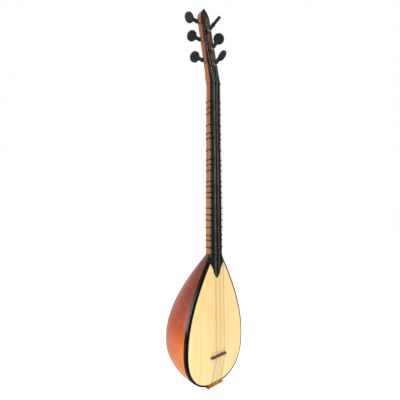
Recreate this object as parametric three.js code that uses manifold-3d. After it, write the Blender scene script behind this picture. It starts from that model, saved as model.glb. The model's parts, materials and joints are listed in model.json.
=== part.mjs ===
// A short-scale baglama saz (cura size): a carved half-pear bowl closed by a domed soundboard, a long
// neck with tied frets, a head that leans back, six friction pegs and three double courses of strings.
//
// Frame, in millimetres: +Z runs up the neck, -Y is the side the strings are on, and +X is on the
// right seen from that side. The origin is the middle of the tail comb's lower face.

import * as THREE from 'three';
import { mergeVertices } from 'three/addons/utils/BufferGeometryUtils.js';
import Module from 'manifold-3d';

const wasm = await Module();
wasm.setup();

// ---------------------------------------------------------------- driving dimensions

const SCALE_LENGTH = 560; // nut to bridge
const NECK_LENGTH = 353; // nut to the joint between neck and bowl
const BOWL_LENGTH = 267; // that joint to the tail of the bowl
const BOWL_HALF_WIDTH = 82;
const BOWL_DEPTH = 131;
const BOWL_WALL = 6;
const WIDEST_ABOVE_TAIL = 83; // where the face is widest
const DEEPEST_ABOVE_TAIL = 78; // where the bowl is deepest
const SIDE_ROUNDNESS = 2.4; // exponent of the face's outline at the tail; 2 is an ellipse
const DEPTH_ROUNDNESS = 2; // the same for the bowl's lengthwise section

const GLUE_GAP = 0.3; // left between pieces that are glued or rest on each other

const FACE_THICKNESS = 3; // soundboard, edge binding and shoulder plate
const FACE_DOME = 4.5; // how far the soundboard rises between its edges
const FACE_LEAN = 0.0195; // the face falls back towards the tail by this much for each mm
const DOME_START = 55; // the dome reaches its full height this far from the tail
const BINDING_WIDTH = 3.4; // black strip let in round the soundboard
const BAND_THICKNESS = 2; // black veneer let in round the rim of the bowl
const BAND_HEIGHT = 6.2;
const TONGUE_LENGTH = 50; // pointed end of the shoulder plate, from the joint
const TONGUE_OUTLINE = [[0, 0], [5.5, 6], [9.6, 12], [11.2, 18.5], [14.2, 24], [19, 31], [23, 38]];

const NECK_HALF_WIDTH_AT_NUT = 13.1;
const NECK_HALF_WIDTH_AT_JOINT = 15.7;
const NECK_DEPTH_AT_NUT = 22.5; // with its fingerboard
const NECK_DEPTH_AT_JOINT = 26.5;
const NECK_ROUNDNESS = 2.3; // exponent of the superellipse behind the flat front
const FINGERBOARD_THICKNESS = 4;
const TENON_LENGTH = 30; // neck tenon in the solid upper end of the bowl
const TENON_WIDTH = 16;
const TENON_DEPTH = 13;
const SCARF_LENGTH = 48; // slanted glue joint between neck and head

const HEAD_LENGTH = 171;
const HEAD_TILT = THREE.MathUtils.degToRad(11);
const HEAD_HALF_WIDTH_AT_NUT = 13.9;
const HEAD_HALF_WIDTH_AT_ARCH = 11.8;
const HEAD_ARCH_LENGTH = 25; // pointed arch at the tip
const HEAD_ARCH_BLUNTNESS = 2.4; // exponent of the arch's outline
const HEAD_THICKNESS = 15.6; // with its faceplate
const HEAD_SQUARE_HEIGHT = 26; // the round neck has become a square head here
const FACEPLATE_THICKNESS = 3;

const NUT_THICKNESS = 3;
const NUT_HEIGHT = 2.2; // above the fingerboard
const NUT_HALF_LENGTH = 13;

const BRIDGE_FOOT_LENGTH = 43;
const BRIDGE_TOP_LENGTH = 39;
const BRIDGE_HEIGHT = 6.6;
const BRIDGE_FOOT_HEIGHT = 2; // its foot has upright sides up to here
const BRIDGE_FOOT_THICKNESS = 3.4;
const BRIDGE_TOP_THICKNESS = 2;

const COMB_HALF_LENGTH = 22;
const COMB_HEIGHT = 10;
const COMB_DEPTH = 9;
const COMB_SETBACK = 0.6; // its front lies this far behind the edge of the face
const COMB_BELOW_BOWL = 5; // it stands this far out below the bowl
const COMB_SLOT_WIDTH = 1.6;
const COMB_SLOT_DEPTH = 3.4;
const COMB_SLOT_FLOOR = 2; // the slots end this far above the lower face

const PEG_RADIUS = 3.4; // of the shaft where it enters the wood
const PEG_TIP_RADIUS = 3.1;
const PEG_RUNNING_GAP = 0.2; // between a turning shaft and its hole
const PEG_SHY = 0.6; // its inner end stops this far inside the far face of the wood
const PEG_DISC_RADIUS = 11.2;
const PEG_DISC_THICKNESS = 6.4;
const PEG_DISC_SIDES = 16;
const PEG_STEM_SIDES = 10;
const PEG_COLLAR_RADIUS = 4.7;
const PEG_COLLAR_LENGTH = 1.6;
const PEG_COLLAR_FROM_WINDING = 2;
const PEG_NECK_RADIUS = 4.3; // where the stem runs into the disc
const SIDE_PEG_REACH = 29.6; // middle of the peg's disc, from the wood
const SIDE_PEG_HEIGHTS = [49.5, 96.5, 138.5]; // above the nut, along the head
const SIDE_PEG_ROLLS = [-42, -48, -18]; // how far each disc is turned, in degrees
const SIDE_PEG_DEPTH = 8.6; // behind the face of the head
const FRONT_PEG_REACH = 28.4;
const FRONT_PEG_HEIGHTS = [39, 72.5, 117];
const FRONT_PEG_ROLLS = [68, -42, 48];
const FRONT_PEG_LEANS = [16, 26, 16]; // towards the tip, from square to the face, in degrees

const WINDING_LENGTH = 6; // turns of string on the peg's shaft, next to the wood
const WINDING_THICKNESS = 0.9;
const WINDING_EASE = 0.5; // its ends slope in over this length
const WINDING_SIDES = 12;

const COURSE_SPACING_AT_BRIDGE = 12.2;
const COURSE_SPACING_AT_NUT = 8.6;
const PAIR_SPACING = 2.4; // between the two strings of a course
const STRING_RADII = [0.35, 0.5, 0.3, 0.3, 0.3, 0.5];
const STRING_GAP = 0.15; // under a string that rests on the bridge or the nut
const STRING_SIDES = 8;
const STRING_LOW_END = 2.8; // above the lower face of the comb
const STRING_OVER_COMB = 1.3; // in front of the face as it leaves the comb
const STRING_TURN = 19; // below its side peg, a string goes over the edge of the head

const FRET_WIDTH = 3; // several turns of tied gut, side by side
const FRET_THICKNESS = 0.9;
const FRET_CENTS = [
  125, 170, 210, 295, 360, 400, 495, 580, 625, 680, 785,
  835, 900, 955, 1075, 1155, 1225, 1320, 1430, 1505, 1615,
];

const SOUND_HOLE_RADIUS = 7; // in the tail of the bowl, low on its back
const SOUND_HOLE_DEPTH = 40; // behind the face plane
const SOUND_HOLE_SIDES = 20;
const BRACE_ABOVE_BRIDGE = 62;
const BRACE_WIDTH = 7;
const BRACE_HEIGHT = 8;
const TAIL_BLOCK_HALF_WIDTH = 30;
const TAIL_BLOCK_DEPTH = 24;
const TAIL_BLOCK_HEIGHT = 16;

// ---------------------------------------------------------------- places that follow from them

const TAIL_Z = COMB_BELOW_BOWL;
const JOINT_Z = TAIL_Z + BOWL_LENGTH;
const NUT_Z = JOINT_Z + NECK_LENGTH;
const BRIDGE_Z = NUT_Z - SCALE_LENGTH;
const WIDEST_Z = TAIL_Z + WIDEST_ABOVE_TAIL;
const DEEPEST_Z = TAIL_Z + DEEPEST_ABOVE_TAIL;
const SHOULDER_Z = JOINT_Z - 5; // the bowl's sides reach the width of the neck here
const TONGUE_TIP_Z = JOINT_Z - TONGUE_LENGTH;
const CAVITY_TOP_Z = JOINT_Z - TENON_LENGTH - 10;
const FINGERBOARD_BACK_Y = FINGERBOARD_THICKNESS; // its front is the plane y = 0
const NECK_FRONT_Y = FINGERBOARD_BACK_Y + GLUE_GAP;
const RIM_Y = FACE_THICKNESS + GLUE_GAP; // front edge of the bowl, behind the edge of the face
const BAND_BACK_Y = RIM_Y + BAND_HEIGHT;
const faceEdgeY = (z) => FACE_LEAN * (JOINT_Z - z); // the edge of the face at height z
const COMB_MIDDLE_Y = faceEdgeY(0) + COMB_SETBACK + COMB_DEPTH / 2;
const WINDING_RADIUS = PEG_RADIUS + GLUE_GAP + WINDING_THICKNESS;
const windingStart = (lean) => WINDING_RADIUS * Math.sin(lean) + GLUE_GAP; // clear of the wood
const PEG_HOLE_SIDES = 16;
const PEG_HOLE_RADIUS = (PEG_RADIUS + PEG_RUNNING_GAP) / Math.cos(Math.PI / PEG_HOLE_SIDES);
const FAR = 400; // reaches past the whole cross-section of the object
const FACE_CUT = 20; // cuts through the face reach this far before and behind its edge

// ---------------------------------------------------------------- general helpers

const smooth = (t) => THREE.MathUtils.smoothstep(t, 0, 1);
const mix = THREE.MathUtils.lerp;

function solidOf(geometry) {
  const bare = geometry.clone();
  bare.deleteAttribute('normal');
  bare.deleteAttribute('uv');
  const merged = mergeVertices(bare, 1e-4);
  const mesh = new wasm.Mesh({
    numProp: 3,
    vertProperties: new Float32Array(merged.attributes.position.array),
    triVerts: new Uint32Array(merged.index.array),
  });
  return new wasm.Manifold(mesh);
}

function geometryOf(solid) {
  const mesh = solid.getMesh();
  const geometry = new THREE.BufferGeometry();
  geometry.setAttribute('position', new THREE.BufferAttribute(mesh.vertProperties, 3));
  geometry.setIndex(new THREE.BufferAttribute(mesh.triVerts, 1));
  geometry.computeVertexNormals();
  return geometry;
}

// A closed body through rings of equally many points, with a fan over each end.
function loft(rings) {
  const count = rings[0].length;
  const points = rings.flat();
  const triangles = [];
  for (let ring = 0; ring < rings.length - 1; ring += 1) {
    for (let k = 0; k < count; k += 1) {
      const a = ring * count + k;
      const b = ring * count + ((k + 1) % count);
      triangles.push([a, b, b + count], [a, b + count, a + count]);
    }
  }
  const addCap = (ring, flip) => {
    const centre = new THREE.Vector3();
    rings[ring].forEach((point) => centre.addScaledVector(point, 1 / count));
    points.push(centre);
    const middle = points.length - 1;
    for (let k = 0; k < count; k += 1) {
      const a = ring * count + k;
      const b = ring * count + ((k + 1) % count);
      triangles.push(flip ? [b, a, middle] : [a, b, middle]);
    }
  };
  addCap(0, true);
  addCap(rings.length - 1, false);
  const volume = triangles.reduce((sum, [a, b, c]) => {
    const cross = new THREE.Vector3().crossVectors(points[b], points[c]);
    return sum + points[a].dot(cross);
  }, 0);
  const facing = volume < 0 ? triangles.map(([a, b, c]) => [a, c, b]) : triangles;
  const geometry = new THREE.BufferGeometry().setFromPoints(points);
  geometry.setIndex(facing.flat());
  geometry.computeVertexNormals();
  return geometry;
}

// A flat outline of (x, z) points, made solid from yFront to yBack.
function prism(outline, yFront, yBack) {
  const geometry = new THREE.ExtrudeGeometry(new THREE.Shape(outline), {
    depth: yBack - yFront,
    bevelEnabled: false,
  });
  geometry.rotateX(Math.PI / 2);
  geometry.translate(0, yBack, 0);
  return solidOf(geometry);
}

function box(xLow, xHigh, yLow, yHigh, zLow, zHigh) {
  const geometry = new THREE.BoxGeometry(xHigh - xLow, yHigh - yLow, zHigh - zLow);
  geometry.translate((xLow + xHigh) / 2, (yLow + yHigh) / 2, (zLow + zHigh) / 2);
  return solidOf(geometry);
}

// A rod of a given length about `direction`, starting at `start`.
function rod(start, direction, length, radius, sides) {
  const geometry = new THREE.CylinderGeometry(radius, radius, length, sides);
  geometry.translate(0, length / 2, 0);
  const turn = new THREE.Quaternion().setFromUnitVectors(new THREE.Vector3(0, 1, 0), direction);
  geometry.applyQuaternion(turn);
  geometry.translate(start.x, start.y, start.z);
  return solidOf(geometry);
}

// Leans a piece of the body back about the joint. Level faces stay level.
const leaned = (solid) => solid.warp((point) => {
  point[1] += faceEdgeY(point[2]);
});

function range(from, to, steps) {
  return Array.from({ length: steps + 1 }, (unused, k) => mix(from, to, k / steps));
}

// ---------------------------------------------------------------- the pear shape of face and bowl

// Size of the pear at height z: a superellipse below its fullest place, a long taper above it.
function pear(z, fullestZ, fullest, endZ, end, roundness) {
  if (z <= fullestZ) {
    const down = Math.min(1, (fullestZ - z) / (fullestZ - TAIL_Z));
    return fullest * (1 - down ** roundness) ** (1 / roundness);
  }
  const up = Math.min(1, (z - fullestZ) / (endZ - fullestZ));
  const drop = up * up * (1.33 - 0.33 * up);
  return mix(fullest, end, drop);
}

const faceHalfWidth = (z) =>
  pear(z, WIDEST_Z, BOWL_HALF_WIDTH, SHOULDER_Z, NECK_HALF_WIDTH_AT_JOINT, SIDE_ROUNDNESS);
const bowlDepth = (z) => pear(z, DEEPEST_Z, BOWL_DEPTH, JOINT_Z, NECK_DEPTH_AT_JOINT, DEPTH_ROUNDNESS);

// Heights at which the pear is sampled, closer together towards its round tail.
function pearHeights(lowest, highest, lowerSteps, upperSteps) {
  const reach = WIDEST_Z - lowest;
  const lower = range(0.1, Math.PI / 2, lowerSteps).map((angle) => WIDEST_Z - reach * Math.cos(angle));
  return [...lower, ...range(WIDEST_Z, highest, upperSteps).slice(1)];
}

// The face outline as (x, z) points, set in by `inset`, running up the right side and down the left.
function faceOutline(inset) {
  const right = [];
  for (const z of [TAIL_Z + 0.02, ...pearHeights(TAIL_Z, JOINT_Z, 14, 16)]) {
    const step = 0.01;
    const slope = (faceHalfWidth(z + step) - faceHalfWidth(z)) / step;
    const normal = new THREE.Vector2(1, -slope).normalize();
    const x = faceHalfWidth(z) - inset * normal.x;
    right.push(new THREE.Vector2(x, z - inset * normal.y));
  }
  const kept = right.filter((point) => point.x > 0.5);
  const left = kept.map((point) => new THREE.Vector2(-point.x, point.y)).reverse();
  return [...kept, ...left];
}

// How far the face stands before its flat edge at (x, z).
function domeHeight(x, z) {
  const fromTail = smooth((z - TAIL_Z) / DOME_START);
  const towardsNeck = smooth((z - BRIDGE_Z) / (JOINT_Z - BRIDGE_Z));
  const crown = FACE_DOME * fromTail * (1 - towardsNeck);
  return crown * (1 - Math.min(1, Math.abs(x) / faceHalfWidth(z)) ** 2);
}

// The whole face as one domed plate. Soundboard, binding and shoulder plate are cut from it.
function facePlate() {
  const rings = pearHeights(TAIL_Z, JOINT_Z - GLUE_GAP, 9, 10).map((z) => {
    const across = range(-1, 1, 10).map((t) => t * faceHalfWidth(z));
    const front = across.map((x) => new THREE.Vector3(x, -domeHeight(x, z), z));
    const back = across.map((x) => new THREE.Vector3(x, FACE_THICKNESS - domeHeight(x, z), z));
    return [...front, ...back.reverse()];
  });
  return solidOf(loft(rings));
}

// The black shoulder plate's outline: the full width by the neck, then an ogee down to a point.
function shoulderOutline(grow) {
  const right = new THREE.SplineCurve(
    TONGUE_OUTLINE.map(([x, up]) => new THREE.Vector2(x, TONGUE_TIP_Z + up)),
  ).getPoints(14);
  const edge = right.map((point) => new THREE.Vector2(point.x + grow, point.y - grow));
  edge[0].x = 0;
  edge.push(new THREE.Vector2(FAR, edge.at(-1).y), new THREE.Vector2(FAR, FAR));
  const mirrored = edge.slice(1).map((point) => new THREE.Vector2(-point.x, point.y)).reverse();
  return [...edge, ...mirrored];
}

// The space that the tail comb takes out of the pieces round it.
const combSpace = box(
  -COMB_HALF_LENGTH - GLUE_GAP, COMB_HALF_LENGTH + GLUE_GAP,
  -FACE_DOME, COMB_SETBACK + COMB_DEPTH + GLUE_GAP,
  -1, COMB_HEIGHT + GLUE_GAP,
);
const leftHalf = box(-FAR, -0.01, -FAR, FAR, -FAR, 2 * FAR);
const rightHalf = box(0.01, FAR, -FAR, FAR, -FAR, 2 * FAR);

function facePieces() {
  const plate = facePlate();
  const shoulder = prism(shoulderOutline(0), -FACE_CUT, FACE_CUT);
  const shoulderSpace = prism(shoulderOutline(GLUE_GAP), -FACE_CUT, FACE_CUT);
  const inside = prism(faceOutline(BINDING_WIDTH), -FACE_CUT, FACE_CUT);
  const soundboardSpace = prism(faceOutline(BINDING_WIDTH + GLUE_GAP), -FACE_CUT, FACE_CUT);
  const binding = plate.subtract(inside).subtract(shoulderSpace).subtract(combSpace);
  return {
    soundboard: leaned(plate.intersect(soundboardSpace).subtract(shoulderSpace).subtract(combSpace)),
    shoulder_plate: leaned(plate.intersect(shoulder)),
    edge_binding_left: leaned(binding.intersect(leftHalf)),
    edge_binding_right: leaned(binding.intersect(rightHalf)),
  };
}

// ---------------------------------------------------------------- bowl and what is glued in it

// A round-backed section: flat along `front`, then a superellipse back to `back`.
function roundBackedRing(halfWidth, front, back, roundness, z, steps = 12) {
  return range(0, Math.PI, steps).map((angle) => {
    const across = -Math.sign(Math.cos(angle)) * Math.abs(Math.cos(angle)) ** (2 / roundness);
    const behind = Math.abs(Math.sin(angle)) ** (2 / roundness);
    return new THREE.Vector3(halfWidth * across, mix(front, back, behind), z);
  });
}

// The bowl's solid, set in by `inset` all round. Its front is flat at y = front.
function pearSolid(inset, front, highest, steps) {
  const lowest = TAIL_Z + inset;
  const rings = pearHeights(lowest, highest, steps, steps + 2).map((z) => {
    const share = (z - lowest) / (WIDEST_Z - lowest);
    const sampleZ = z < WIDEST_Z ? mix(TAIL_Z, WIDEST_Z, share) : z;
    const halfWidth = Math.max(1, faceHalfWidth(sampleZ) - inset);
    const depth = Math.max(front + 1, bowlDepth(sampleZ) - inset);
    return roundBackedRing(halfWidth, front, depth, 2, z, 16);
  });
  return solidOf(loft(rings));
}

function bandFrame(outerInset, innerInset, front, back) {
  const outer = prism(faceOutline(outerInset), front, back);
  return outer.subtract(prism(faceOutline(innerInset), front - 1, back + 1));
}

const tenonBox = (grow) => box(
  -TENON_WIDTH / 2 - grow, TENON_WIDTH / 2 + grow,
  NECK_FRONT_Y + 3 - grow, NECK_FRONT_Y + 3 + TENON_DEPTH + grow,
  JOINT_Z - TENON_LENGTH - grow, JOINT_Z + 2,
);

function bowlPieces() {
  const outside = pearSolid(0, RIM_Y, JOINT_Z, 12);
  const cavity = pearSolid(BOWL_WALL, RIM_Y - 1, CAVITY_TOP_Z, 9);
  const rebate = bandFrame(-3, BAND_THICKNESS + GLUE_GAP, RIM_Y - 1, BAND_BACK_Y + GLUE_GAP);
  const soundHole = rod(
    new THREE.Vector3(0, SOUND_HOLE_DEPTH, -BOWL_WALL), new THREE.Vector3(0, 0, 1),
    TAIL_Z + DEEPEST_ABOVE_TAIL, SOUND_HOLE_RADIUS, SOUND_HOLE_SIDES,
  );
  const band = bandFrame(0, BAND_THICKNESS, RIM_Y, BAND_BACK_Y).intersect(outside).subtract(combSpace);
  const bowl = leaned(outside.subtract(cavity).subtract(rebate).subtract(combSpace).subtract(soundHole))
    .subtract(tenonBox(GLUE_GAP));
  const block = box(
    -TAIL_BLOCK_HALF_WIDTH, TAIL_BLOCK_HALF_WIDTH, RIM_Y + GLUE_GAP, RIM_Y + TAIL_BLOCK_DEPTH,
    0, TAIL_Z + BOWL_WALL + TAIL_BLOCK_HEIGHT,
  );
  return {
    bowl,
    rim_band_left: leaned(band.intersect(leftHalf)),
    rim_band_right: leaned(band.intersect(rightHalf)),
    tail_block: leaned(pearSolid(BOWL_WALL + GLUE_GAP, RIM_Y - 1, CAVITY_TOP_Z, 9).intersect(block)),
  };
}

function soundboardBrace() {
  const z = BRIDGE_Z + BRACE_ABOVE_BRIDGE;
  const reach = faceHalfWidth(z) - BOWL_WALL - 2;
  const top = range(-reach, reach, 10).map((x) => {
    const y = FACE_THICKNESS + 2 * GLUE_GAP - domeHeight(x, z);
    return new THREE.Vector2(x, y);
  });
  const back = FACE_THICKNESS - FACE_DOME + BRACE_HEIGHT;
  const outline = [...top, new THREE.Vector2(reach, back), new THREE.Vector2(-reach, back)];
  const geometry = new THREE.ExtrudeGeometry(new THREE.Shape(outline), {
    depth: BRACE_WIDTH,
    bevelEnabled: false,
  });
  geometry.translate(0, 0, z - BRACE_WIDTH / 2);
  return leaned(solidOf(geometry));
}

// ---------------------------------------------------------------- neck

const alongNeck = (z) => (z - JOINT_Z) / NECK_LENGTH; // 0 at the joint, 1 at the nut
const neckHalfWidth = (z) => mix(NECK_HALF_WIDTH_AT_JOINT, NECK_HALF_WIDTH_AT_NUT, alongNeck(z));
const neckDepth = (z) => mix(NECK_DEPTH_AT_JOINT, NECK_DEPTH_AT_NUT, alongNeck(z));

function neckSolid(lowest, highest) {
  const rings = [lowest, highest].map((z) =>
    roundBackedRing(neckHalfWidth(z), NECK_FRONT_Y, neckDepth(z), NECK_ROUNDNESS, z, 14));
  return solidOf(loft(rings));
}

// Everything behind the slanted plane that runs from the nut down to the back of the neck.
function behindScarf(gap) {
  const steep = (NECK_DEPTH_AT_NUT - NECK_FRONT_Y) / SCARF_LENGTH;
  const shape = new THREE.Shape([
    new THREE.Vector2(NECK_FRONT_Y - 20 * steep, NUT_Z + 20 + gap),
    new THREE.Vector2(NECK_FRONT_Y + 80 * steep, NUT_Z - 80 + gap),
    new THREE.Vector2(FAR, NUT_Z - 80 + gap),
    new THREE.Vector2(FAR, NUT_Z + 20 + gap),
  ]);
  const geometry = new THREE.ExtrudeGeometry(shape, { depth: 2 * FAR, bevelEnabled: false });
  geometry.rotateX(Math.PI / 2);
  geometry.rotateZ(Math.PI / 2);
  geometry.translate(-FAR, 0, 0);
  return solidOf(geometry);
}

function neckPiece() {
  const shaft = neckSolid(JOINT_Z + GLUE_GAP, NUT_Z);
  return shaft.add(tenonBox(0).subtract(box(-FAR, FAR, -FAR, FAR, JOINT_Z + 1, FAR * 2)))
    .subtract(behindScarf(0));
}

function fingerboardPiece() {
  const rings = [JOINT_Z + GLUE_GAP, NUT_Z - NUT_THICKNESS / 2 - GLUE_GAP].map((z) => {
    const half = neckHalfWidth(z);
    const ease = 0.8; // rounded front corners
    return [
      new THREE.Vector3(-half, FINGERBOARD_BACK_Y, z),
      new THREE.Vector3(-half, ease, z),
      new THREE.Vector3(-half + ease, 0, z),
      new THREE.Vector3(half - ease, 0, z),
      new THREE.Vector3(half, ease, z),
      new THREE.Vector3(half, FINGERBOARD_BACK_Y, z),
    ];
  });
  return solidOf(loft(rings));
}

// A tied fret lies round neck and fingerboard together, free to be slid.
function fretPiece(z) {
  const ringAt = (gap, height) => {
    const half = neckHalfWidth(z) + gap;
    const back = neckDepth(z) + gap;
    const round = roundBackedRing(half, NECK_FRONT_Y, back, NECK_ROUNDNESS, height, 10);
    return [
      new THREE.Vector3(half, -gap, height), new THREE.Vector3(-half, -gap, height), ...round,
    ];
  };
  const body = (gap, reach) =>
    solidOf(loft([ringAt(gap, z - reach), ringAt(gap, z + reach)]));
  return body(GLUE_GAP + FRET_THICKNESS, FRET_WIDTH / 2).subtract(body(GLUE_GAP, FRET_WIDTH));
}

// ---------------------------------------------------------------- head, in its own leaning frame

// In the head's frame z runs from the nut to the tip and y = 0 is the front of the faceplate.
const head = new THREE.Group();
head.position.set(0, 0, NUT_Z);
head.rotation.x = -HEAD_TILT;
head.updateMatrix();
const fromHead = (x, y, z) => new THREE.Vector3(x, y, z).applyMatrix4(head.matrix);

function headHalfWidth(height) {
  const archStart = HEAD_LENGTH - HEAD_ARCH_LENGTH;
  if (height <= archStart) {
    return mix(HEAD_HALF_WIDTH_AT_NUT, HEAD_HALF_WIDTH_AT_ARCH, height / archStart);
  }
  const up = Math.min(1, (height - archStart) / HEAD_ARCH_LENGTH);
  return Math.max(0.6, HEAD_HALF_WIDTH_AT_ARCH * (1 - up ** HEAD_ARCH_BLUNTNESS));
}

const headHeights = (lowest) => [
  lowest, 0.5 * HEAD_SQUARE_HEIGHT, HEAD_SQUARE_HEIGHT,
  ...range(HEAD_LENGTH - HEAD_ARCH_LENGTH, HEAD_LENGTH, 8),
];

const sidePegAt = (height) => new THREE.Vector3(-headHalfWidth(height), SIDE_PEG_DEPTH, height);
const sidePegDirection = new THREE.Vector3(-1, 0, 0);
const frontPegLean = (k) => THREE.MathUtils.degToRad(FRONT_PEG_LEANS[k]);
const frontPegAt = (k) => new THREE.Vector3(0, 0, FRONT_PEG_HEIGHTS[k]);
const frontPegDirection = (k) =>
  new THREE.Vector3(0, -Math.cos(frontPegLean(k)), Math.sin(frontPegLean(k)));

// The holes that the pegs turn in, right through the head.
function pegHoles() {
  const through = 4 * HEAD_HALF_WIDTH_AT_NUT;
  const holeAlong = (place, direction) => {
    const start = place.clone().addScaledVector(direction, PEG_RADIUS);
    return rod(start, direction.clone().negate(), through, PEG_HOLE_RADIUS, PEG_HOLE_SIDES);
  };
  const side = SIDE_PEG_HEIGHTS.map((height) => holeAlong(sidePegAt(height), sidePegDirection));
  const front = FRONT_PEG_HEIGHTS.map((unused, k) => holeAlong(frontPegAt(k), frontPegDirection(k)));
  return [...side, ...front];
}

function headPieces() {
  const woodFront = FACEPLATE_THICKNESS + GLUE_GAP;
  const woodRings = headHeights(3 * GLUE_GAP).map((height) => {
    const square = smooth(height / HEAD_SQUARE_HEIGHT);
    const thickness = mix(NECK_DEPTH_AT_NUT, HEAD_THICKNESS, square);
    const roundness = mix(NECK_ROUNDNESS, 8, square);
    return roundBackedRing(headHalfWidth(height), woodFront, thickness, roundness, height, 16);
  });
  const lowest = -SCARF_LENGTH;
  const tongue = neckSolid(NUT_Z + lowest, NUT_Z + 3).intersect(behindScarf(GLUE_GAP));
  const toHead = head.matrix.clone().invert();
  const tongueInHead = solidOf(geometryOf(tongue).applyMatrix4(toHead))
    .subtract(box(-FAR, FAR, -FAR, woodFront, -FAR, FAR));
  const plateRings = headHeights(NUT_THICKNESS / 2 + 2 * GLUE_GAP).map((height) => {
    const half = headHalfWidth(height);
    return [
      new THREE.Vector3(-half, 0, height), new THREE.Vector3(half, 0, height),
      new THREE.Vector3(half, FACEPLATE_THICKNESS, height),
      new THREE.Vector3(-half, FACEPLATE_THICKNESS, height),
    ];
  });
  let wood = solidOf(loft(woodRings)).add(tongueInHead);
  let plate = solidOf(loft(plateRings));
  for (const hole of pegHoles()) {
    wood = wood.subtract(hole);
    plate = plate.subtract(hole);
  }
  return { headstock: wood, head_faceplate: plate };
}

// ---------------------------------------------------------------- pegs, about their own axis

// A peg points along +Z of its own frame, with z = 0 where it enters the wood. A peg that leans
// has its winding further out, so that it turns clear of the wood.
function pegPiece(depthInWood, reach, lean) {
  const collar = windingStart(lean) + WINDING_LENGTH + PEG_COLLAR_FROM_WINDING;
  const discEdge = reach - PEG_DISC_RADIUS;
  const shaft = [
    [0, -depthInWood], [PEG_TIP_RADIUS, -depthInWood], [PEG_RADIUS, 0],
    [PEG_RADIUS, collar - 1], [PEG_COLLAR_RADIUS, collar],
    [PEG_COLLAR_RADIUS, collar + PEG_COLLAR_LENGTH], [PEG_RADIUS, collar + 2 * PEG_COLLAR_LENGTH],
    [PEG_NECK_RADIUS, discEdge + 1], [0, reach - PEG_DISC_RADIUS / 2],
  ];
  const stem = new THREE.LatheGeometry(shaft.map(([r, z]) => new THREE.Vector2(r, z)), PEG_STEM_SIDES);
  stem.rotateX(Math.PI / 2);
  const rim = [[0, 1], [0.62, 0.92], [0.93, 0.62], [1, 0.25]].map(([out, up]) =>
    new THREE.Vector2(out * PEG_DISC_RADIUS, (up * PEG_DISC_THICKNESS) / 2));
  const lens = [...rim.map((point) => new THREE.Vector2(point.x, -point.y)), ...rim.reverse()];
  const disc = new THREE.LatheGeometry(lens, PEG_DISC_SIDES);
  disc.translate(0, 0, reach);
  return solidOf(stem).add(solidOf(disc));
}

// The turns of string on a peg, as one sleeve.
function windingPiece(lean) {
  const inner = PEG_RADIUS + GLUE_GAP;
  const start = windingStart(lean);
  const end = start + WINDING_LENGTH;
  const section = [
    [inner, start], [WINDING_RADIUS, start + WINDING_EASE], [WINDING_RADIUS, end - WINDING_EASE],
    [inner, end], [inner, start],
  ];
  const outline = section.map(([r, z]) => new THREE.Vector2(r, z));
  const sleeve = new THREE.LatheGeometry(outline, WINDING_SIDES);
  sleeve.rotateX(Math.PI / 2);
  return solidOf(sleeve);
}

function pegGroup(place, direction, roll) {
  const group = new THREE.Group();
  group.position.copy(place);
  group.quaternion.setFromUnitVectors(new THREE.Vector3(0, 0, 1), direction);
  group.rotateZ(THREE.MathUtils.degToRad(roll));
  return group;
}

// ---------------------------------------------------------------- nut, bridge and tail comb

function nutPiece() {
  return box(
    -NUT_HALF_LENGTH, NUT_HALF_LENGTH, -NUT_HEIGHT, FINGERBOARD_BACK_Y,
    NUT_Z - NUT_THICKNESS / 2, NUT_Z + NUT_THICKNESS / 2,
  ).subtract(behindHeadFace());
}

// The space of the head and its faceplate just above the nut.
function behindHeadFace() {
  const space = new THREE.BoxGeometry(FAR, FAR, FAR);
  space.translate(0, FAR / 2 + FACEPLATE_THICKNESS, FAR / 2);
  space.applyMatrix4(head.matrix);
  return solidOf(space);
}

const bridgeFootY = faceEdgeY(BRIDGE_Z) - domeHeight(0, BRIDGE_Z) - GLUE_GAP;
const bridgeTopY = bridgeFootY - BRIDGE_HEIGHT;

function bridgePiece() {
  const ringAt = (length, thickness, y) => [[-1, -1], [1, -1], [1, 1], [-1, 1]].map(([x, z]) =>
    new THREE.Vector3((x * length) / 2, y, BRIDGE_Z + (z * thickness) / 2));
  return solidOf(loft([
    ringAt(BRIDGE_FOOT_LENGTH, BRIDGE_FOOT_THICKNESS, bridgeFootY),
    ringAt(BRIDGE_FOOT_LENGTH, BRIDGE_FOOT_THICKNESS, bridgeFootY - BRIDGE_FOOT_HEIGHT),
    ringAt(BRIDGE_TOP_LENGTH, BRIDGE_TOP_THICKNESS, bridgeTopY),
  ]));
}

const courseX = (spacing, index) => {
  const course = Math.floor(index / 2) - 1;
  const side = index % 2 === 0 ? -0.5 : 0.5;
  return course * spacing + side * PAIR_SPACING;
};

function tailComb() {
  let comb = box(
    -COMB_HALF_LENGTH, COMB_HALF_LENGTH, COMB_SETBACK, COMB_SETBACK + COMB_DEPTH, 0, COMB_HEIGHT,
  );
  STRING_RADII.forEach((unused, index) => {
    const x = courseX(COURSE_SPACING_AT_BRIDGE, index);
    const half = COMB_SLOT_WIDTH / 2;
    comb = comb.subtract(box(
      x - half, x + half, 0, COMB_SETBACK + COMB_SLOT_DEPTH, COMB_SLOT_FLOOR, COMB_HEIGHT + 1,
    ));
  });
  return leaned(comb);
}

// ---------------------------------------------------------------- strings

// A path that is straight between its corners, so that a string turns exactly where it rests.
class StringPath extends THREE.Curve {
  constructor(corners) {
    super();
    this.corners = corners;
  }

  getSpacedPoints() {
    return this.corners;
  }

  getTangentAt(u, target = new THREE.Vector3()) {
    const index = Math.round(u * (this.corners.length - 1));
    const before = this.corners[Math.max(0, index - 1)];
    const here = this.corners[index];
    const after = this.corners[Math.min(this.corners.length - 1, index + 1)];
    const arriving = here.clone().sub(before).normalize();
    const leaving = after.clone().sub(here).normalize();
    return target.copy(arriving).add(leaving).normalize();
  }
}

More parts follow.
